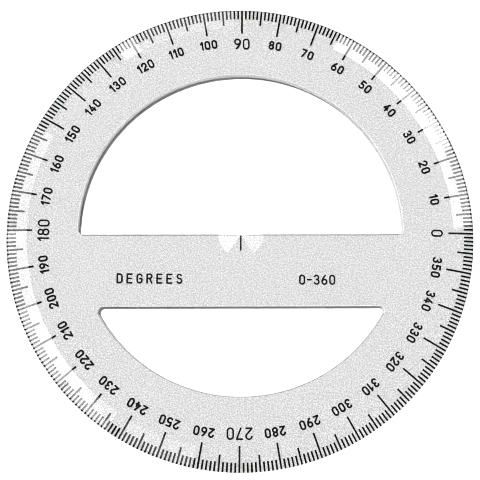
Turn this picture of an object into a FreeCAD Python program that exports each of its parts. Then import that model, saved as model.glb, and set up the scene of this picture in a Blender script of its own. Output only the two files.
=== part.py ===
import FreeCAD, Part
import math
import os

import Sketcher

# Full-circle protractor: one clear acrylic disc, bevelled down to a thin flat rim, with two openings
# either side of a cross bar. The scale, its numerals, the centre line and the two legends are
# engraved in the underside and filled flush with black paint. Every paint fill is a solid of its
# own, seated in its groove.
# Frame: origin at the centre of the scale on the underside, +X to 0 degrees, +Y to 90 degrees,
# +Z up through the plate.

DIMENSIONS = {
    # plate
    "scale_radius": 50.0,
    "plate_thickness": 1.8,
    "rim_thickness": 0.65,
    "rim_land": 0.4,
    "bevel_width": 4.6,
    # openings, cut half a degree round from the scale
    "opening_radius": 34.65,
    "bar_upper_drop": 0.67,
    "bar_lower_drop": 16.0,
    "opening_corner": 1.0,
    "opening_turn": 0.5,
    # conical recess at the middle of the bar's upper edge
    "recess_radius": 4.85,
    "recess_floor": 0.4,
    "recess_clearance": 1.0,
    # engraved lines
    "engraving_depth": 0.12,
    "tick_width": 0.38,
    "one_degree_length": 2.1,
    "five_degree_length": 3.6,
    "ten_degree_length": 5.4,
    "centre_line_width": 0.34,
    "centre_line_length": 3.5,
    # numerals and legends, measured on the centre line of the stroke
    "numeral_top_radius": 43.25,
    "numeral_height": 1.66,
    "numeral_gap": 0.66,
    "numeral_stroke": 0.38,
    "quarter_numeral_height": 2.2,
    "quarter_numeral_gap": 0.74,
    "quarter_numeral_stroke": 0.34,
    "legend_height": 1.83,
    "legend_stroke": 0.34,
    "legend_base": 11.1,
    "left_legend_centre": 19.3,
    "left_legend_gap": 1.12,
    "right_legend_centre": 16.3,
    "right_legend_gap": 0.68,
}

FULL_TURN = 360
QUARTER_TURN = 90
NUMERAL_STEP = 10
MIDDLE_TICK = 5
LEFT_LEGEND = "DEGREES"
RIGHT_LEGEND = "0-360"
CORNER_COUNT = 4
PARALLEL_TOLERANCE = 1e-6
VOLUME_TOLERANCE = 0.01

doc = FreeCAD.newDocument("Protractor")
sheet = doc.addObject("Spreadsheet::Sheet", "Dimensions")
for row, (alias, value) in enumerate(DIMENSIONS.items(), start=1):
    sheet.set(f"A{row}", alias)
    sheet.set(f"B{row}", str(value))
    sheet.setAlias(f"B{row}", alias)
doc.recompute()

Z_AXIS = FreeCAD.Vector(0, 0, 1)


def size(alias):
    """A driving dimension read from the sheet."""
    return float(sheet.get(alias))


def cell(alias):
    """The expression that names a driving dimension."""
    return f"Dimensions.{alias}"


# ---------------------------------------------------------------- sketch helpers

def origin_feature(body, role):
    for feature in body.Origin.OriginFeatures:
        if feature.Role == role:
            return feature
    raise ValueError(role)


def new_body(name):
    body = doc.addObject("PartDesign::Body", name)
    body.Label = name
    return body


def new_sketch(body, name, plane):
    sketch = body.newObject("Sketcher::SketchObject", name)
    sketch.AttachmentSupport = (origin_feature(body, plane), [""])
    sketch.MapMode = "FlatFace"
    return sketch


def turn_sketch(sketch, expression):
    """Turn a sketch in its own plane by an angle from the sheet."""
    sketch.AttachmentOffset = FreeCAD.Placement(
        FreeCAD.Vector(), FreeCAD.Rotation(Z_AXIS, 1))
    sketch.setExpression("AttachmentOffset.Rotation.Angle", expression)


def add_outline(sketch, points):
    """A closed chain of straight lines, each joined to the next."""
    count = len(points)
    for index in range(count):
        start = FreeCAD.Vector(*points[index], 0)
        end = FreeCAD.Vector(*points[(index + 1) % count], 0)
        sketch.addGeometry(Part.LineSegment(start, end))
    for index in range(count):
        sketch.addConstraint(Sketcher.Constraint("Coincident", index, 2, (index + 1) % count, 1))


def drive(sketch, kind, where, expression):
    """A dimension of the sketch bound to the sheet."""
    value = sketch.evalExpression(expression)
    value = getattr(value, "Value", value)
    number = sketch.addConstraint(Sketcher.Constraint(kind, *where, value))
    sketch.setExpression(f"Constraints[{number}]", expression)


ORIGIN_POINT = (-1, 1)
VERTICAL_AXIS = -2


# ---------------------------------------------------------------- clear plate, before engraving

def add_disc(body):
    """The bevelled disc: its half section turned about the Z axis."""
    radius = size("scale_radius")
    rim = size("rim_thickness")
    thickness = size("plate_thickness")
    land_radius = radius - size("rim_land")
    flat_radius = radius - size("bevel_width")
    sketch = new_sketch(body, "disc_section", "XZ_Plane")
    add_outline(sketch, [(0, 0), (radius, 0), (radius, rim), (land_radius, rim), (flat_radius, thickness),
                         (0, thickness)])
    underside, rim_face, land, bevel, top, axis = range(6)
    sketch.addConstraint([
        Sketcher.Constraint("Coincident", underside, 1, *ORIGIN_POINT),
        Sketcher.Constraint("Horizontal", underside),
        Sketcher.Constraint("Vertical", rim_face),
        Sketcher.Constraint("Horizontal", land),
        Sketcher.Constraint("Horizontal", top),
        Sketcher.Constraint("Vertical", axis),
    ])
    drive(sketch, "DistanceX", (underside, 1, underside, 2), cell("scale_radius"))
    drive(sketch, "DistanceY", (rim_face, 1, rim_face, 2), cell("rim_thickness"))
    drive(sketch, "DistanceY", (axis, 2, axis, 1), cell("plate_thickness"))
    drive(sketch, "DistanceX", (land, 2, land, 1), cell("rim_land"))
    drive(sketch, "DistanceX", (bevel, 2, land, 1), cell("bevel_width"))
    disc = body.newObject("PartDesign::Revolution", "disc")
    disc.Profile = sketch
    disc.ReferenceAxis = (sketch, ["V_Axis"])
    disc.Angle = FULL_TURN
    sketch.Visibility = False
    doc.recompute()


def add_segment(sketch, level_expression, side):
    """One opening: the part of the opening circle beyond a chord parallel to the X axis.

    side is 1 for the opening above the bar and -1 for the one below it."""
    radius = size("opening_radius")
    level = sketch.evalExpression(level_expression)
    level = getattr(level, "Value", level)
    half_chord = math.sqrt(radius ** 2 - level ** 2)
    start_angle = math.atan2(level, side * half_chord)
    end_angle = math.atan2(level, -side * half_chord)
    if end_angle < start_angle:
        end_angle += 2 * math.pi
    first = sketch.GeometryCount
    circle = Part.Circle(FreeCAD.Vector(), Z_AXIS, radius)
    sketch.addGeometry(Part.ArcOfCircle(circle, start_angle, end_angle))
    sketch.addGeometry(Part.LineSegment(
        FreeCAD.Vector(-side * half_chord, level, 0),
        FreeCAD.Vector(side * half_chord, level, 0)))
    arc = first
    chord = first + 1
    sketch.addConstraint([
        Sketcher.Constraint("Coincident", arc, 3, *ORIGIN_POINT),
        Sketcher.Constraint("Coincident", arc, 2, chord, 1),
        Sketcher.Constraint("Coincident", chord, 2, arc, 1),
        Sketcher.Constraint("Horizontal", chord),
    ])
    drive(sketch, "Radius", (arc,), cell("opening_radius"))
    drive(sketch, "DistanceY", (chord, 1, *ORIGIN_POINT), f"-({level_expression})")


def add_openings(body):
    sketch = new_sketch(body, "openings_outline", "XY_Plane")
    turn_sketch(sketch, cell("opening_turn"))
    add_segment(sketch, "-" + cell("bar_upper_drop"), 1)
    add_segment(sketch, "-" + cell("bar_lower_drop"), -1)
    pocket = body.newObject("PartDesign::Pocket", "openings")
    pocket.Profile = sketch
    pocket.Type = "ThroughAll"
    pocket.Reversed = True
    sketch.Visibility = False
    doc.recompute()


def add_corner_fillets(body):
    """Round the four corners where the bar runs into the ring."""
    solid = body.Tip
    corner_reach = size("opening_radius") + size("opening_corner")
    corners = []
    for number, edge in enumerate(solid.Shape.Edges, start=1):
        ends = [vertex.Point for vertex in edge.Vertexes]
        upright = len(ends) == 2 and (ends[0] - ends[1]).cross(Z_AXIS).Length < PARALLEL_TOLERANCE
        if upright and math.hypot(ends[0].x, ends[0].y) < corner_reach:
            corners.append(f"Edge{number}")
    if len(corners) != CORNER_COUNT:
        raise ValueError(f"expected {CORNER_COUNT} opening corners, found {len(corners)}")
    fillet = body.newObject("PartDesign::Fillet", "opening_corners")
    fillet.Base = (solid, corners)
    fillet.Radius = size("opening_corner")
    fillet.setExpression("Radius", cell("opening_corner"))
    doc.recompute()


def add_recess(body):
    """The conical recess that thins the bar round the centre, its axis on the bar's upper edge."""
    radius = size("recess_radius")
    floor = size("recess_floor")
    thickness = size("plate_thickness")
    above = thickness + size("recess_clearance")
    sketch = new_sketch(body, "recess_section", "XZ_Plane")
    sketch.AttachmentOffset = FreeCAD.Placement(
        FreeCAD.Vector(0, 0, size("bar_upper_drop")), FreeCAD.Rotation())
    sketch.setExpression("AttachmentOffset.Base.z", cell("bar_upper_drop"))
    add_outline(sketch, [(0, floor), (radius, thickness), (radius, above), (0, above)])
    cone, outer, lid, axis = range(4)
    sketch.addConstraint([
        Sketcher.Constraint("PointOnObject", cone, 1, VERTICAL_AXIS),
        Sketcher.Constraint("Vertical", outer),
        Sketcher.Constraint("Horizontal", lid),
        Sketcher.Constraint("Vertical", axis),
    ])
    drive(sketch, "DistanceY", (*ORIGIN_POINT, cone, 1), cell("recess_floor"))
    drive(sketch, "DistanceX", (cone, 1, cone, 2), cell("recess_radius"))
    drive(sketch, "DistanceY", (*ORIGIN_POINT, cone, 2), cell("plate_thickness"))
    drive(sketch, "DistanceY", (outer, 1, outer, 2), cell("recess_clearance"))
    groove = body.newObject("PartDesign::Groove", "centre_recess")
    groove.Profile = sketch
    groove.ReferenceAxis = (sketch, ["V_Axis"])
    groove.Angle = FULL_TURN
    sketch.Visibility = False
    doc.recompute()


def make_plate_blank():
    body = new_body("plate_blank")
    add_disc(body)
    disc_volume = body.Shape.Volume
    add_openings(body)
    opened_volume = body.Shape.Volume
    add_corner_fillets(body)
    filleted_volume = body.Shape.Volume
    add_recess(body)
    if not (opened_volume < disc_volume and body.Shape.Volume < filleted_volume):
        raise ValueError("a cut in the plate removed nothing")
    return body


# ---------------------------------------------------------------- scale ticks

def add_tick(sketch, angle, length_alias):
    """One radial tick that runs out at the rim: two sides, a straight inner end, an arc outside."""
    radius = size("scale_radius")
    half_width = size("tick_width") / 2
    inner = radius - size(length_alias)
    outer = math.sqrt(radius ** 2 - half_width ** 2)
    turn = FreeCAD.Rotation(Z_AXIS, angle)
    corners = [
        turn.multVec(FreeCAD.Vector(outer, -half_width, 0)),
        turn.multVec(FreeCAD.Vector(outer, half_width, 0)),
        turn.multVec(FreeCAD.Vector(inner, half_width, 0)),
        turn.multVec(FreeCAD.Vector(inner, -half_width, 0)),
    ]
    first = sketch.GeometryCount
    spread = math.asin(half_width / radius)
    middle = math.radians(angle)
    circle = Part.Circle(FreeCAD.Vector(), Z_AXIS, radius)
    sketch.addGeometry(Part.ArcOfCircle(circle, middle - spread, middle + spread))
    for start, end in ((1, 2), (2, 3), (3, 0)):
        sketch.addGeometry(Part.LineSegment(corners[start], corners[end]))
    rim_arc, left_side, inner_end, right_side = range(first, first + 4)
    sketch.addConstraint([
        Sketcher.Constraint("Coincident", rim_arc, 3, *ORIGIN_POINT),
        Sketcher.Constraint("Coincident", rim_arc, 2, left_side, 1),
        Sketcher.Constraint("Coincident", left_side, 2, inner_end, 1),
        Sketcher.Constraint("Coincident", inner_end, 2, right_side, 1),
        Sketcher.Constraint("Coincident", right_side, 2, rim_arc, 1),
        Sketcher.Constraint("Perpendicular", left_side, inner_end),
        Sketcher.Constraint("Perpendicular", inner_end, right_side),
    ])
    drive(sketch, "Radius", (rim_arc,), cell("scale_radius"))
    drive(sketch, "Distance", (inner_end, 1, inner_end, 2), cell("tick_width"))


def make_ticks(name, angles, length_alias, repeats):
    """Paint fills of all ticks of one length: a few drawn ticks repeated round the circle."""
    body = new_body(name)
    body.AllowCompound = True
    sketch = new_sketch(body, name + "_outline", "XY_Plane")
    for angle in angles:
        add_tick(sketch, angle, length_alias)
    pad = body.newObject("PartDesign::Pad", name + "_fill")
    pad.Profile = sketch
    pad.Length = size("engraving_depth")
    pad.setExpression("Length", cell("engraving_depth"))
    pad.AllowMultiFace = True
    sketch.Visibility = False
    doc.recompute()
    pattern = body.newObject("PartDesign::PolarPattern", name + "_pattern")
    pattern.Originals = [pad]
    pattern.Axis = (origin_feature(body, "Z_Axis"), [""])
    pattern.Angle = FULL_TURN
    pattern.Occurrences = repeats
    body.Tip = pattern
    doc.recompute()
    return body


# ---------------------------------------------------------------- engraved characters

# Proportions of a character, as fractions of its height.
WIDTH = 0.54
RADIUS = WIDTH / 2
ONE_WIDTH = 0.22
DASH_WIDTH = 0.4
UPPER_BOWL = 0.235
LOWER_BOWL = 0.5 - UPPER_BOWL
BAR_LEVEL = 0.5


def point(across, up):
    return FreeCAD.Vector(across, up, 0)


def polyline(*points):
    return Part.makePolygon([point(*pair) for pair in points])


def bow(centre, radius, start_degrees, end_degrees):
    """An arc from one angle to another, clockwise when the end angle is the smaller."""
    def on_circle(degrees):
        turn = math.radians(degrees)
        return point(centre[0] + radius * math.cos(turn), centre[1] + radius * math.sin(turn))
    middle_degrees = (start_degrees + end_degrees) / 2
    return Part.Arc(on_circle(start_degrees), on_circle(middle_degrees), on_circle(end_degrees)).toShape()


def line(start, end):
    return Part.LineSegment(start, end).toShape()


def chain(*edges):
    return Part.Wire(list(edges))


def end_of(edge):
    return edge.valueAt(edge.LastParameter)


def start_of(edge):
    return edge.valueAt(edge.FirstParameter)


def full_circle(centre, radius):
    return Part.Wire([Part.makeCircle(radius, point(*centre))])


def half_turned(wire):
    """A copy turned upside down about the middle of the character."""
    copy = wire.copy()
    copy.rotate(point(RADIUS, 0.5), Z_AXIS, 180)
    return copy


def zero_strokes():
    top = bow((RADIUS, 1 - RADIUS), RADIUS, 0, 180)
    bottom = bow((RADIUS, RADIUS), RADIUS, 180, 360)
    left = line(end_of(top), start_of(bottom))
    right = line(end_of(bottom), start_of(top))
    return [chain(top, left, bottom, right)]


def one_strokes():
    return [polyline((0, 0.76), (ONE_WIDTH, 1), (ONE_WIDTH, 0))]


def two_strokes():
    top = bow((RADIUS, 1 - RADIUS), RADIUS, 175, -38)
    return [chain(top, line(end_of(top), point(0, 0)), line(point(0, 0), point(WIDTH, 0)))]


def three_strokes():
    top = bow((RADIUS, 1 - UPPER_BOWL), UPPER_BOWL, 155, -90)
    bottom = bow((RADIUS, LOWER_BOWL), LOWER_BOWL, 90, -155)
    return [chain(top, bottom)]


def four_strokes():
    return [polyline((0.62 * WIDTH, 1), (0, 0.27), (WIDTH, 0.27)),
            polyline((0.7 * WIDTH, 0.56), (0.7 * WIDTH, 0))]


def five_strokes():
    bowl = bow((RADIUS - 0.02, 0.29), 0.29, 132, -140)
    corner = point(0.12 * WIDTH, 1)
    return [chain(line(point(0.94 * WIDTH, 1), corner), line(corner, start_of(bowl)), bowl)]


def six_strokes():
    stem = Part.Arc(point(0, RADIUS), point(0.17 * WIDTH, 0.62), point(0.72 * WIDTH, 1)).toShape()
    return [full_circle((RADIUS, RADIUS), RADIUS), chain(stem)]


def seven_strokes():
    return [polyline((0, 1), (WIDTH, 1), (0.3 * WIDTH, 0))]


def eight_strokes():
    return [full_circle((RADIUS, 1 - UPPER_BOWL), UPPER_BOWL),
            full_circle((RADIUS, LOWER_BOWL), LOWER_BOWL)]


def nine_strokes():
    return [half_turned(stroke) for stroke in six_strokes()]


def dash_strokes():
    return [polyline((0, BAR_LEVEL), (DASH_WIDTH, BAR_LEVEL))]


def letter_d_strokes():
    top = bow((WIDTH - RADIUS, 1 - RADIUS), RADIUS, 90, 0)
    bottom = bow((WIDTH - RADIUS, RADIUS), RADIUS, 0, -90)
    lid = line(point(0, 1), start_of(top))
    side = line(end_of(top), start_of(bottom))
    base = line(end_of(bottom), point(0, 0))
    back = line(point(0, 0), point(0, 1))
    return [chain(lid, top, side, bottom, base, back)]


def letter_e_strokes():
    return [polyline((WIDTH, 1), (0, 1), (0, 0), (WIDTH, 0)),
            polyline((0, BAR_LEVEL), (0.85 * WIDTH, BAR_LEVEL))]


def letter_g_strokes():
    top = bow((RADIUS, 1 - RADIUS), RADIUS, 15, 180)
    bottom = bow((RADIUS, RADIUS), RADIUS, 180, 360)
    left = line(end_of(top), start_of(bottom))
    tongue = line(end_of(bottom), point(WIDTH, 0.48))
    lip = line(point(WIDTH, 0.48), point(0.55 * WIDTH, 0.48))
    return [chain(top, left, bottom, tongue, lip)]


def letter_r_strokes():
    waist = 1 - 2 * UPPER_BOWL
    bowl = bow((WIDTH - UPPER_BOWL, 1 - UPPER_BOWL), UPPER_BOWL, 90, -90)
    top = line(point(0, 1), start_of(bowl))
    base = line(end_of(bowl), point(0, waist))
    leg = polyline((RADIUS, waist), (WIDTH, 0))
    return [polyline((0, 0), (0, 1)), chain(top, bowl, base), leg]


def letter_s_strokes():
    top = bow((RADIUS, 1 - UPPER_BOWL), UPPER_BOWL, 25, 270)
    bottom = bow((RADIUS, LOWER_BOWL), LOWER_BOWL, 90, -155)
    return [chain(top, bottom)]


STROKES = {
    "0": zero_strokes, "1": one_strokes, "2": two_strokes, "3": three_strokes, "4": four_strokes,
    "5": five_strokes, "6": six_strokes, "7": seven_strokes, "8": eight_strokes, "9": nine_strokes,
    "D": letter_d_strokes, "E": letter_e_strokes, "G": letter_g_strokes, "R": letter_r_strokes,
    "S": letter_s_strokes, "-": dash_strokes,
}
WIDTHS = {"1": ONE_WIDTH, "-": DASH_WIDTH}


def slot_face(start, end, stroke):
    """The flat band that a round cutter leaves when it goes straight from start to end."""
    along = (end - start).normalize() * (stroke / 2)
    across = Z_AXIS.cross(along)
    left = line(start + across, end + across)
    far_end = Part.Arc(end + across, end + along, end - across).toShape()
    right = line(end - across, start - across)
    near_end = Part.Arc(start - across, start - along, start + across).toShape()
    return Part.Face(chain(left, far_end, right, near_end))


def ring_face(circle, stroke):
    """The flat band that a round cutter leaves when it goes once round a circle."""
    outside = Part.makeCircle(circle.Radius + stroke / 2, circle.Center)
    inside = Part.makeCircle(circle.Radius - stroke / 2, circle.Center)
    return Part.Face(Part.Wire([outside])).cut(Part.Face(Part.Wire([inside])))


def stroke_face(wire, stroke):
    """The flat band that a round cutter leaves when it follows a wire."""
    first = wire.Edges[0]
    if len(wire.Edges) == 1 and isinstance(first.Curve, Part.Line):
        return slot_face(start_of(first), end_of(first), stroke)
    if len(wire.Edges) == 1 and wire.isClosed():
        return ring_face(first.Curve, stroke)
    outside = wire.makeOffset2D(stroke / 2, 0, False, False, False)
    face = Part.Face(outside)
    if wire.isClosed():
        hole = Part.Face(wire.makeOffset2D(-stroke / 2, 0, False, False, False))
        face = face.cut(hole)
    return face


def character_solid(character, height, stroke, depth):
    """One engraved character, its left edge at X = 0 and its foot at Y = 0."""
    solids = []
    for wire in STROKES[character]():
        scaled = wire.copy()
        scaled.scale(height, FreeCAD.Vector())
        solids.append(stroke_face(scaled, stroke).extrude(Z_AXIS * depth))
    solid = solids[0]
    if len(solids) > 1:
        solid = solid.fuse(solids[1:]).removeSplitter()
    return solid


def word_solids(word, height, gap, stroke, depth):
    """The characters of a word as separate solids, centred on X = 0, foot at Y = 0."""
    widths = [WIDTHS.get(character, WIDTH) * height for character in word]
    left = -(sum(widths) + gap * (len(word) - 1)) / 2
    solids = []
    for character, width in zip(word, widths):
        solid = character_solid(character, height, stroke, depth)
        solid.translate(point(left, 0))
        solids.append(solid)
        left += width + gap
    return solids


def make_lettering(name, solids, placement):
    """Paint fills of one numeral or legend."""
    feature = doc.addObject("Part::Feature", name)
    feature.Label = name
    feature.Shape = Part.makeCompound(solids)
    feature.Placement = placement
    return feature


def make_numeral(degrees):
    quarter = degrees % QUARTER_TURN == 0
    prefix = "quarter_numeral" if quarter else "numeral"
    height = size(prefix + "_height")
    solids = word_solids(str(degrees), height, size(prefix + "_gap"), size(prefix + "_stroke"),
                         size("engraving_depth"))
    turn = FreeCAD.Rotation(Z_AXIS, degrees - QUARTER_TURN)
    foot = turn.multVec(FreeCAD.Vector(0, size("numeral_top_radius") - height, 0))
    return make_lettering(f"numeral_{degrees:03d}", solids, FreeCAD.Placement(foot, turn))


def make_legend(name, word, centre):
    solids = word_solids(word, size("legend_height"), size(name + "_gap"), size("legend_stroke"),
                         size("engraving_depth"))
    place = FreeCAD.Placement(point(centre, -size("legend_base")), FreeCAD.Rotation())
    return make_lettering(name, solids, place)


def make_centre_line():
    """The short line on the 90 degree axis, from the bar's upper edge down."""
    fill = doc.addObject("Part::Box", "centre_line")
    fill.Label = "centre_line"
    fill.setExpression("Length", cell("centre_line_width"))
    fill.setExpression("Width", cell("centre_line_length"))
    fill.setExpression("Height", cell("engraving_depth"))
    fill.setExpression("Placement.Base.x", f"-{cell('centre_line_width')} / 2")
    fill.setExpression("Placement.Base.y",
                       f"-{cell('bar_upper_drop')} - {cell('centre_line_length')}")
    return fill


# ---------------------------------------------------------------- assembly

def make_engraved_plate(blank, fills):
    """The plate with a groove under every paint fill."""
    pattern = doc.addObject("Part::Compound", "engraving_pattern")
    pattern.Links = fills
    plate = doc.addObject("Part::Cut", "plate")
    plate.Label = "plate"
    plate.Base = blank
    plate.Tool = pattern
    doc.recompute()
    return plate


blank = make_plate_blank()
ticks = [
    make_ticks("one_degree_ticks", range(1, MIDDLE_TICK), "one_degree_length",
               FULL_TURN // MIDDLE_TICK),
    make_ticks("five_degree_ticks", [MIDDLE_TICK], "five_degree_length",
               FULL_TURN // NUMERAL_STEP),
    make_ticks("ten_degree_ticks", [0], "ten_degree_length", FULL_TURN // NUMERAL_STEP),
]
numerals = [make_numeral(degrees) for degrees in range(0, FULL_TURN, NUMERAL_STEP)]
legends = [
    make_legend("left_legend", LEFT_LEGEND, -size("left_legend_centre")),
    make_legend("right_legend", RIGHT_LEGEND, size("right_legend_centre")),
]
centre_line = make_centre_line()
doc.recompute()
fills = ticks + [centre_line] + numerals + legends
plate = make_engraved_plate(blank, fills)
sub_parts = [plate] + fills

for item in doc.Objects:
    if "Invalid" in item.State or "Error" in item.State:
        raise ValueError(f"{item.Name} failed: {item.State}")
for item in sub_parts:
    if item.Shape.isNull() or not item.Shape.isValid():
        raise ValueError(f"{item.Label} has no valid shape")

groove_volume = blank.Shape.Volume - plate.Shape.Volume
fill_volume = sum(item.Shape.Volume for item in fills)
if abs(groove_volume - fill_volume) > VOLUME_TOLERANCE * fill_volume:
    raise ValueError(f"grooves take {groove_volume:.3f} mm3, their fills {fill_volume:.3f} mm3")

os.makedirs("parts", exist_ok=True)
for item in sub_parts:
    item.Shape.exportStep(f"parts/{item.Label}.step")
print(f"{len(sub_parts)} sub-parts, plate {plate.Shape.Volume:.1f} mm3, paint {fill_volume:.2f} mm3")
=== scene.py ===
import math

import bpy
from mathutils import Matrix, Vector
from mathutils.geometry import tessellate_polygon


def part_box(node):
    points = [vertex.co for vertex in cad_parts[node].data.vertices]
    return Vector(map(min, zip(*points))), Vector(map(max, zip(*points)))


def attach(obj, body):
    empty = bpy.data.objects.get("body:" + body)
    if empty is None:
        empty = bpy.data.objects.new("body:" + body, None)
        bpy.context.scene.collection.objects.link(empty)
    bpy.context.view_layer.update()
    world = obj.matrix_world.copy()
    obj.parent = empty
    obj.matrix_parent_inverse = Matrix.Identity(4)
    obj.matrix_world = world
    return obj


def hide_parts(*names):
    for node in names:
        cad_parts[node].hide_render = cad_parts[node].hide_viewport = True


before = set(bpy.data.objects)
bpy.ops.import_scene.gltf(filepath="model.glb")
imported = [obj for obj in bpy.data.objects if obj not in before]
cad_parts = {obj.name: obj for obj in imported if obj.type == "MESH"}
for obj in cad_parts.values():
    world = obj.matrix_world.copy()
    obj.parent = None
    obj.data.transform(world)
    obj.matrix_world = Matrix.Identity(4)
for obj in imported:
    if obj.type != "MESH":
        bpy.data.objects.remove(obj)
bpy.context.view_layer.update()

MM = 0.001
UP = Vector((0, 0, 1))

# ------------------------------------------------------------------ sizes, in metres
_, plate_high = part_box("plate")
SCALE_RADIUS = plate_high.x
THICKNESS = plate_high.z
RIM_THICKNESS = 0.65 * MM
RIM_LAND = 0.4 * MM
BEVEL_WIDTH = 4.6 * MM
OPENING_RADIUS = 34.65 * MM
BAR_UPPER_EDGE = -0.67 * MM
BAR_LOWER_EDGE = -16.0 * MM
OPENING_CORNER = 1.0 * MM
OPENING_TURN = math.radians(0.5)
RECESS_RADIUS = 4.85 * MM
RECESS_FLOOR = 0.4 * MM
RECESS_CENTRE = Matrix.Rotation(OPENING_TURN, 3, "Z") @ Vector((0, BAR_UPPER_EDGE, 0))
EDGE_ROUND = 0.12 * MM
UNDERSIDE = 0.004 * MM            # just above the lower face of the paint, so that the two never touch

RIM_STEPS = 720
OPENING_STEP = math.radians(0.75)
CORNER_STEPS = 8
NOTCH_STEPS = 120
ROUND_STEPS = 4

# The plate's material slots, in their order: polished faces, milled walls, and dark grey painted on the
# openings' rounded edges as painted shade.
POLISHED = 0
MILLED = 1
# dark grey on the rounded edges: painted shade, standing in for the dark lines of shade along the openings
PAINTED_SHADE = 2


# ------------------------------------------------------------------ clear plate

class Surface:
    """Faces with a normal for every corner, so that flat faces shade flat and rounds shade round."""

    def __init__(self):
        self.places = []
        self.faces = []
        self.normals = []
        self.finishes = []
        self.finish = POLISHED

    def ring(self, places):
        first = len(self.places)
        self.places += [Vector(place) for place in places]
        return list(range(first, len(self.places)))

    def face(self, corners, normals):
        first, second, third = (self.places[corner] for corner in corners[:3])
        facing = (second - first).cross(third - first)
        if facing.dot(sum(normals, Vector())) < 0:
            corners = corners[::-1]
            normals = normals[::-1]
        self.faces.append(corners)
        self.normals += normals
        self.finishes.append(self.finish)

    def strip(self, ring_a, normals_a, ring_b, normals_b):
        """The band of faces between two closed rings."""
        count = len(ring_a)
        for index in range(count):
            after = (index + 1) % count
            self.face([ring_a[index], ring_a[after], ring_b[after], ring_b[index]],
                      [normals_a[index], normals_a[after], normals_b[after], normals_b[index]])

    def fill(self, loops, normal):
        """A flat face bounded by an outer loop and holes, cut into triangles."""
        corners = [corner for loop in loops for corner in loop]
        outlines = [[self.places[corner] for corner in loop] for loop in loops]
        for triangle in tessellate_polygon(outlines):
            self.face([corners[index] for index in triangle], [normal] * 3)

    def piece(self, name):
        mesh = bpy.data.meshes.new(name)
        mesh.from_pydata(self.places, [], self.faces)
        mesh.polygons.foreach_set("use_smooth", [True] * len(self.faces))
        mesh.polygons.foreach_set("material_index", self.finishes)
        mesh.normals_split_custom_set(self.normals)
        return link(mesh, name)


def link(mesh, name):
    piece = bpy.data.objects.new(name, mesh)
    bpy.context.scene.collection.objects.link(piece)
    return piece


def flat(angle):
    return Vector((math.cos(angle), math.sin(angle), 0))


def arc(centre, radius, start, end, steps):
    """Points along an arc, each with the direction that leads away from the arc's centre."""
    stations = []
    for step in range(steps + 1):
        outward = flat(start + (end - start) * step / steps)
        stations.append((centre + outward * radius, outward))
    return stations


def opening_outline(edge, side, straight):
    """One opening's outline: side is 1 above the bar and -1 below it.

    Each station is a place and the direction into the plate. straight lists the stations along
    the bar's edge, given as distances along X, from left to right."""
    centre_y = edge + side * OPENING_CORNER
    centre_x = math.sqrt((OPENING_RADIUS - OPENING_CORNER) ** 2 - centre_y ** 2)
    bar_side = -side * math.pi / 2
    right = math.atan2(centre_y, centre_x)
    left = right + side * (math.pi - 2 * abs(right)) if side * right > 0 else side * math.pi - right
    steps = math.ceil(abs(left - right) / OPENING_STEP)
    stations = arc(Vector(), OPENING_RADIUS, right, left, steps)
    left_corner = Vector((-centre_x, centre_y, 0))
    right_corner = Vector((centre_x, centre_y, 0))
    full_turn = side * 2 * math.pi
    stations += arc(left_corner, OPENING_CORNER, left, bar_side + full_turn, CORNER_STEPS)[1:]
    stations += [(Vector((x, edge, 0)), flat(bar_side)) for x in straight]
    stations += arc(right_corner, OPENING_CORNER, bar_side, right, CORNER_STEPS)[:-1]
    turn = Matrix.Rotation(OPENING_TURN, 3, "Z")
    return [(turn @ place, turn @ inward) for place, inward in stations]


def recess_height(place):
    """The height of the plate's upper surface: the cone of the recess, and the flat face outside it."""
    slope = (THICKNESS - RECESS_FLOOR) / RECESS_RADIUS
    return min(THICKNESS, RECESS_FLOOR + slope * (place - RECESS_CENTRE).length)


def round_profile():
    """A quarter round as (share of the radius along the face, share up the wall), face to wall."""
    return [(1 - math.sin(math.pi / 2 * step / ROUND_STEPS), 1 - math.cos(math.pi / 2 * step / ROUND_STEPS))
            for step in range(ROUND_STEPS + 1)]


def add_opening(surface, stations, upper_normals, shade_stations=0):
    """The wall of one opening with rounded edges. Returns the loops that bound the faces below and above.

    The lower edge is painted dark grey all round, as painted shade; the upper edge only along the first
    stations, as many as the last argument gives."""
    rings = []
    for along, up in round_profile():
        places = [place + inward * (along * EDGE_ROUND) + UP * (UNDERSIDE + up * EDGE_ROUND)
                  for place, inward in stations]
        normals = [(inward * -(1 - along) - UP * (1 - up)).normalized() for place, inward in stations]
        rings.append((places, normals))
    for along, up in reversed(round_profile()):
        places = []
        normals = []
        for (place, inward), face_normal in zip(stations, upper_normals):
            inset = place + inward * (along * EDGE_ROUND)
            height = recess_height(place + inward * EDGE_ROUND) - up * EDGE_ROUND
            places.append(inset + UP * height)
            normals.append((inward * -(1 - along) + face_normal * (1 - up)).normalized())
        rings.append((places, normals))
    loops = [(surface.ring(places), normals) for places, normals in rings]
    # Painted shade (dark grey) goes on the lower round, and on the first stations of the upper round where
    # asked.
    for number, (lower, upper) in enumerate(zip(loops, loops[1:])):
        surface.finish = PAINTED_SHADE if number < ROUND_STEPS else MILLED
        first = len(surface.faces)
        surface.strip(*lower, *upper)
        if number > ROUND_STEPS:
            surface.finishes[first:first + shade_stations] = [PAINTED_SHADE] * shade_stations
    surface.finish = POLISHED
    return loops[0][0], loops[-1][0]


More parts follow.
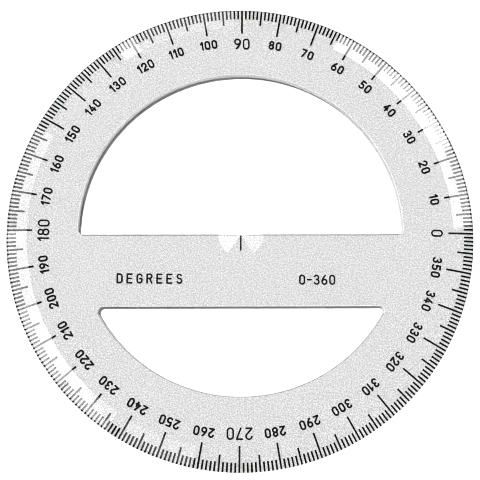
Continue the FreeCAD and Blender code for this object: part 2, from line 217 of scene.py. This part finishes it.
def add_rim(surface):
    """The thin rim, its flat land and the bevel. Returns the loops that bound the faces below and above."""
    angles = [2 * math.pi * step / RIM_STEPS for step in range(RIM_STEPS)]
    profile = []                  # radius, height, and how far the normal leans outward and upward
    for along, up in round_profile():
        radius = SCALE_RADIUS - along * EDGE_ROUND
        profile.append((radius, UNDERSIDE + up * EDGE_ROUND, 1 - along, up - 1))
    for along, up in reversed(round_profile()):
        radius = SCALE_RADIUS - along * EDGE_ROUND
        profile.append((radius, RIM_THICKNESS - up * EDGE_ROUND, 1 - along, 1 - up))
    profile.append((SCALE_RADIUS - RIM_LAND, RIM_THICKNESS, 0, 1))
    loops = []
    for radius, height, outward, upward in profile:
        ring = surface.ring([flat(angle) * radius + UP * height for angle in angles])
        normals = [(flat(angle) * outward + UP * upward).normalized() for angle in angles]
        loops.append((ring, normals))
    for lower, upper in zip(loops, loops[1:]):
        surface.strip(*lower, *upper)
    slope = math.atan2(THICKNESS - RIM_THICKNESS, BEVEL_WIDTH - RIM_LAND)
    bevel_normals = [flat(angle) * math.sin(slope) + UP * math.cos(slope) for angle in angles]
    flat_radius = SCALE_RADIUS - BEVEL_WIDTH
    flat_edge = surface.ring([flat(angle) * flat_radius + UP * THICKNESS for angle in angles])
    surface.strip(loops[-1][0], bevel_normals, flat_edge, bevel_normals)
    return loops[0][0], flat_edge


def add_cone(surface, edge, directions, normals):
    """The recess, from the bar's edge out to its round rim. Returns the loop along that rim.

    The two ends of the edge lie on the rim already, so the faces there have three corners."""
    places = [RECESS_CENTRE + direction * RECESS_RADIUS + UP * THICKNESS for direction in directions[1:-1]]
    rim = [edge[0]] + surface.ring(places) + [edge[-1]]
    for index in range(len(edge) - 1):
        after = index + 1
        corners = {
            edge[index]: normals[index],
            edge[after]: normals[after],
            rim[after]: normals[after],
            rim[index]: normals[index]}
        surface.face(list(corners), list(corners.values()))
    return rim


def make_plate():
    surface = Surface()
    under_rim, upper_rim = add_rim(surface)

    half_angle = math.asin(EDGE_ROUND / RECESS_RADIUS)
    fan = [half_angle + (math.pi - 2 * half_angle) * step / NOTCH_STEPS for step in range(NOTCH_STEPS + 1)]
    notch = [-EDGE_ROUND / math.tan(angle) for angle in fan]
    upper_outline = opening_outline(BAR_UPPER_EDGE, 1, notch)
    first = len(upper_outline) - CORNER_STEPS - len(notch)
    after = first + len(notch)
    cone_slope = math.atan2(THICKNESS - RECESS_FLOOR, RECESS_RADIUS)
    directions = [flat(OPENING_TURN - math.pi + angle) for angle in fan]
    inward = -math.sin(cone_slope)
    upward = UP * math.cos(cone_slope)
    cone_normals = [direction * inward + upward for direction in directions]
    upper_normals = [UP] * first + cone_normals + [UP] * CORNER_STEPS
    under_upper, top_upper = add_opening(surface, upper_outline, upper_normals)

    lower_outline = opening_outline(BAR_LOWER_EDGE, -1, [])
    lower_arc = len(lower_outline) - 2 * CORNER_STEPS
    # Along the lower opening's arc the upper round is painted dark grey as well: painted shade.
    under_lower, top_lower = add_opening(surface, lower_outline, [UP] * len(lower_outline), lower_arc)

    cone_rim = add_cone(surface, top_upper[first:after], directions, cone_normals)
    top_notched = top_upper[:first] + cone_rim + top_upper[after:]
    surface.fill([under_rim, under_upper, under_lower], -UP)
    surface.fill([upper_rim, top_notched, top_lower], UP)
    return surface.piece("clear_plate")


# ------------------------------------------------------------------ materials

SHADOW_SHARE = 0.97               # of a lamp's light that crosses one face of the plate
TRAPPED_SHARE = 0.01              # of a lamp's light that leaves by a wall of the openings
GLOSS_SHARE = 0.2                 # of a cut face that still looks like glass
ACRYLIC_INDEX = 1.49
ACRYLIC_DARK = 0.64               # the ends of the grain in the plate's tint
ACRYLIC_LIGHT = 0.93
PAINT_DARK = (0.004, 0.004, 0.0045, 1)
PAINT_LIGHT = (0.014, 0.014, 0.015, 1)

# Noise patterns, in features per metre.
GRAIN = 3400
CLOUD = 60
RIPPLE = 900
TOOL_MARKS = 3000
BLOTS = 2500
PAINT_GRAIN = 6000


def new_material(name):
    material = bpy.data.materials.new(name)
    material.use_nodes = True
    tree = material.node_tree
    tree.nodes.clear()
    return material, tree


def node(tree, kind, **settings):
    made = tree.nodes.new(kind)
    for key, value in settings.items():
        if key in made.inputs:
            made.inputs[key].default_value = value
        else:
            setattr(made, key, value)
    return made


def grey(shade):
    return shade, shade, shade, 1


def noise(tree, scale, detail=2.0):
    """Noise fixed to the object, its scale in features per metre."""
    place = node(tree, "ShaderNodeTexCoord")
    pattern = node(tree, "ShaderNodeTexNoise", Scale=scale, Detail=detail)
    tree.links.new(place.outputs["Object"], pattern.inputs["Vector"])
    return pattern.outputs["Fac"]


def remap(tree, source, low, high, from_low=0.3, from_high=0.7):
    """Noise stretched from its usual range to low and high, and held at those two beyond it."""
    spread = node(tree, "ShaderNodeMapRange")
    spread.inputs["From Min"].default_value = from_low
    spread.inputs["From Max"].default_value = from_high
    spread.inputs["To Min"].default_value = low
    spread.inputs["To Max"].default_value = high
    tree.links.new(source, spread.inputs["Value"])
    return spread.outputs["Result"]


def blend_colours(tree, factor, first, second):
    mix = node(tree, "ShaderNodeMix", data_type="RGBA")
    ends = [socket for socket in mix.inputs if socket.type == "RGBA"]
    for socket, colour in zip(ends, (first, second)):
        socket.default_value = colour
    tree.links.new(factor, mix.inputs["Factor"])
    return next(socket for socket in mix.outputs if socket.type == "RGBA")


def blend_shaders(tree, factor, first, second):
    mix = node(tree, "ShaderNodeMixShader")
    if isinstance(factor, float):
        mix.inputs["Fac"].default_value = factor
    else:
        tree.links.new(factor, mix.inputs["Fac"])
    tree.links.new(first, mix.inputs[1])
    tree.links.new(second, mix.inputs[2])
    return mix.outputs["Shader"]


def clear_shader(tree, share):
    return node(tree, "ShaderNodeBsdfTransparent", Color=grey(share)).outputs["BSDF"]


def set_bump(tree, shader, height, strength, distance):
    bump = node(tree, "ShaderNodeBump", Strength=strength, Distance=distance)
    tree.links.new(height, bump.inputs["Height"])
    tree.links.new(bump.outputs["Normal"], shader.inputs["Normal"])


def let_light_through(tree, shader, outer_share):
    """Lamps shine through the plate onto what lies under it.

    outer_share is what passes a face from its outer side."""
    inner = clear_shader(tree, SHADOW_SHARE)
    outer = clear_shader(tree, outer_share)
    side = node(tree, "ShaderNodeNewGeometry").outputs["Backfacing"]
    shadow = blend_shaders(tree, side, outer, inner)
    is_shadow = node(tree, "ShaderNodeLightPath").outputs["Is Shadow Ray"]
    output = node(tree, "ShaderNodeOutputMaterial")
    tree.links.new(blend_shaders(tree, is_shadow, shader, shadow), output.inputs["Surface"])


def cut_acrylic(name, dark, light):
    """A cut face of the openings, dark to lamps behind the plate. With light colours it is the wall,
    frosted by the tool; with dark ones, painted shade on the rounded edges.

    Light that falls on the plate from above is turned back inside an upright wall, so the wall
    throws a thin shadow into the opening."""
    material, tree = new_material(name)
    marks = noise(tree, TOOL_MARKS)
    colour = blend_colours(tree, remap(tree, marks, 0, 1), grey(dark), grey(light))
    frost = node(tree, "ShaderNodeBsdfDiffuse")
    tree.links.new(colour, frost.inputs["Color"])
    gloss = node(tree, "ShaderNodeBsdfPrincipled", Metallic=0.0, IOR=ACRYLIC_INDEX)
    gloss.inputs["Transmission Weight"].default_value = 1.0
    tree.links.new(colour, gloss.inputs["Base Color"])
    tree.links.new(remap(tree, marks, low=0.25, high=0.4), gloss.inputs["Roughness"])
    cut = blend_shaders(tree, GLOSS_SHARE, frost.outputs["BSDF"], gloss.outputs["BSDF"])
    let_light_through(tree, cut, TRAPPED_SHARE)
    return material


def clear_acrylic():
    """Polished acrylic: light grain in the tint, a faint satin and slight ripples on the faces."""
    material, tree = new_material("clear_acrylic")
    grain = noise(tree, GRAIN, detail=0.0)
    cloud = noise(tree, CLOUD, detail=3.0)
    tint_factor = remap(tree, grain, 0, 1, from_low=0.4, from_high=0.6)
    tint = blend_colours(tree, tint_factor, grey(ACRYLIC_DARK), grey(ACRYLIC_LIGHT))
    shader = node(tree, "ShaderNodeBsdfPrincipled", Metallic=0.0, IOR=ACRYLIC_INDEX)
    shader.inputs["Transmission Weight"].default_value = 1.0
    tree.links.new(tint, shader.inputs["Base Color"])
    tree.links.new(remap(tree, cloud, low=0.02, high=0.06), shader.inputs["Roughness"])
    set_bump(tree, shader, noise(tree, RIPPLE), strength=0.05, distance=0.02 * MM)
    let_light_through(tree, shader.outputs["BSDF"], SHADOW_SHARE)
    return material


def black_paint():
    """Flat engraving paint: nearly black, a little uneven where it was wiped.

    It adheres to the acrylic, so hardly any light is reflected where the two meet."""
    material, tree = new_material("black_paint")
    blot = noise(tree, BLOTS, detail=3.0)
    colour = blend_colours(tree, remap(tree, blot, 0, 1), PAINT_DARK, PAINT_LIGHT)
    shader = node(tree, "ShaderNodeBsdfPrincipled", Metallic=0.0)
    shader.inputs["Specular IOR Level"].default_value = 0.04
    tree.links.new(colour, shader.inputs["Base Color"])
    tree.links.new(remap(tree, blot, low=0.45, high=0.7), shader.inputs["Roughness"])
    set_bump(tree, shader, noise(tree, PAINT_GRAIN), strength=0.3, distance=0.01 * MM)
    output = node(tree, "ShaderNodeOutputMaterial")
    tree.links.new(shader.outputs["BSDF"], output.inputs["Surface"])
    return material


# ------------------------------------------------------------------ stage

FLOOR_SHADE = 0.85
FLOOR_SIDE = 6.0
FLOOR_DROP = 0.05 * MM            # the floor lies this far under the paint, so that they never touch
WORLD_SHADE = 0.07
LIGHT_DISTANCE = 4.0
LIGHT_BOUNCES = 40                # light runs a long way between the plate's faces
PIXEL_FILTER = 1.0                # in pixels: narrow, because the photo is sharp
CAMERA_PLACE = Vector((-1.8, -24.2, 159.6)) * MM
CAMERA_TARGET = Vector((-0.14, -1.7, 0)) * MM
CAMERA_ROLL = math.radians(-0.34)
CAMERA_LENS = 56.3


def pale_floor():
    material, tree = new_material("pale_floor")
    shader = node(tree, "ShaderNodeBsdfPrincipled", Roughness=0.9)
    shader.inputs["Base Color"].default_value = grey(FLOOR_SHADE)
    shader.inputs["Specular IOR Level"].default_value = 0
    output = node(tree, "ShaderNodeOutputMaterial")
    tree.links.new(shader.outputs["BSDF"], output.inputs["Surface"])
    return material


def make_floor():
    half = FLOOR_SIDE / 2
    corners = [(-half, -half), (half, -half), (half, half), (-half, half)]
    mesh = bpy.data.meshes.new("floor")
    mesh.from_pydata([(x, y, -FLOOR_DROP) for x, y in corners], [], [(0, 1, 2, 3)])
    floor = link(mesh, "floor")
    mesh.materials.append(pale_floor())


def soft_box(name, azimuth, elevation, width, height, radiance, lights_floor=False, shows_in_plate=True):
    """A rectangular lamp aimed at the origin, its sizes in degrees as seen from there.

    A lamp that doesn't light the floor is seen only as a reflection in the plate."""
    azimuth = math.radians(azimuth)
    elevation = math.radians(elevation)
    direction = Vector((
        math.cos(elevation) * math.cos(azimuth),
        math.cos(elevation) * math.sin(azimuth),
        math.sin(elevation)))
    lamp = bpy.data.lights.new(name, "AREA")
    lamp.shape = "RECTANGLE"
    lamp.size = 2 * LIGHT_DISTANCE * math.tan(math.radians(width) / 2)
    lamp.size_y = 2 * LIGHT_DISTANCE * math.tan(math.radians(height) / 2)
    lamp.energy = radiance * math.pi * lamp.size * lamp.size_y
    holder = bpy.data.objects.new(name, lamp)
    holder.visible_diffuse = lights_floor
    holder.visible_glossy = shows_in_plate
    holder.visible_transmission = shows_in_plate
    holder.location = direction * LIGHT_DISTANCE
    holder.rotation_euler = (-direction).to_track_quat("-Z", "Y").to_euler()
    bpy.context.scene.collection.objects.link(holder)


def make_world(shade):
    world = bpy.data.worlds.new("studio")
    bpy.context.scene.world = world
    world.use_nodes = True
    background = world.node_tree.nodes["Background"]
    background.inputs["Color"].default_value = grey(shade)
    background.inputs["Strength"].default_value = 1.0


def make_camera():
    camera = bpy.data.cameras.new("camera")
    camera.lens = CAMERA_LENS
    camera.clip_start = 1 * MM
    holder = bpy.data.objects.new("camera", camera)
    forward = (CAMERA_TARGET - CAMERA_PLACE).normalized()
    right = forward.cross(Vector((0, 1, 0))).normalized()
    up = right.cross(forward)
    axes = Matrix((right, up, -forward)).transposed()
    roll = Matrix.Rotation(CAMERA_ROLL, 3, forward)
    holder.matrix_world = Matrix.Translation(CAMERA_PLACE) @ (roll @ axes).to_4x4()
    bpy.context.scene.collection.objects.link(holder)
    bpy.context.scene.camera = holder


# ------------------------------------------------------------------ the scene

plate = make_plate()
plate.data.materials.append(clear_acrylic())
plate.data.materials.append(cut_acrylic("milled_acrylic", dark=0.78, light=0.95))
# Dark grey for the openings' rounded edges: painted shade, standing in for the dark lines of shade along
# them.
plate.data.materials.append(cut_acrylic("painted_shade_acrylic", dark=0.2, light=0.35))
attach(plate, "root")
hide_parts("plate")

paint = black_paint()
for name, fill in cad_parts.items():
    if name != "plate":
        fill.data.materials.clear()
        fill.data.materials.append(paint)

make_floor()

# One small high lamp throws the shadows of the opening walls, and two low ones soften them.
soft_box("main_light", azimuth=137, elevation=71.5, width=2.5, height=2.5, radiance=2260, lights_floor=True,
         shows_in_plate=False)
soft_box("fill_left", azimuth=235, elevation=9, width=60, height=14, radiance=1, lights_floor=True)
soft_box("fill_right", azimuth=315, elevation=8, width=80, height=14, radiance=1.6, lights_floor=True)

# The bevel mirrors these along the rim, anticlockwise from 0 degrees.
soft_box("key_light", azimuth=41, elevation=41, width=42.5, height=16, radiance=7.3)
soft_box("key_core", azimuth=43.5, elevation=38.5, width=19, height=12, radiance=5)
soft_box("key_hot", azimuth=36.5, elevation=39, width=7.5, height=10, radiance=5)
soft_box("top_light", azimuth=101.8, elevation=35.7, width=17.6, height=6, radiance=1.5)
soft_box("top_spot", azimuth=115.6, elevation=36.6, width=3.5, height=5, radiance=8)
soft_box("left_dim", azimuth=157, elevation=41.7, width=21, height=9, radiance=3.8)
soft_box("left_light", azimuth=190, elevation=49, width=30.5, height=13, radiance=6)
soft_box("left_core", azimuth=200.5, elevation=49, width=16, height=11, radiance=4.5)
soft_box("left_tail", azimuth=221.5, elevation=50.7, width=11, height=3.4, radiance=3.2)
soft_box("left_edge", azimuth=221.5, elevation=46.8, width=11, height=4.4, radiance=9)
soft_box("front_light", azimuth=245.5, elevation=51, width=14.6, height=6, radiance=1.7)

# The recess mirrors these, one on each side of the centre line.
soft_box("recess_left", azimuth=39.5, elevation=56.5, width=28, height=12, radiance=7)
soft_box("recess_right", azimuth=138.5, elevation=57, width=28.5, height=12, radiance=4.5)

make_world(WORLD_SHADE)
make_camera()

bpy.context.scene.view_settings.view_transform = "Standard"
cycles = bpy.context.scene.cycles
cycles.filter_width = PIXEL_FILTER
cycles.caustics_refractive = False
cycles.caustics_reflective = False
cycles.max_bounces = LIGHT_BOUNCES
cycles.glossy_bounces = LIGHT_BOUNCES
cycles.transmission_bounces = LIGHT_BOUNCES
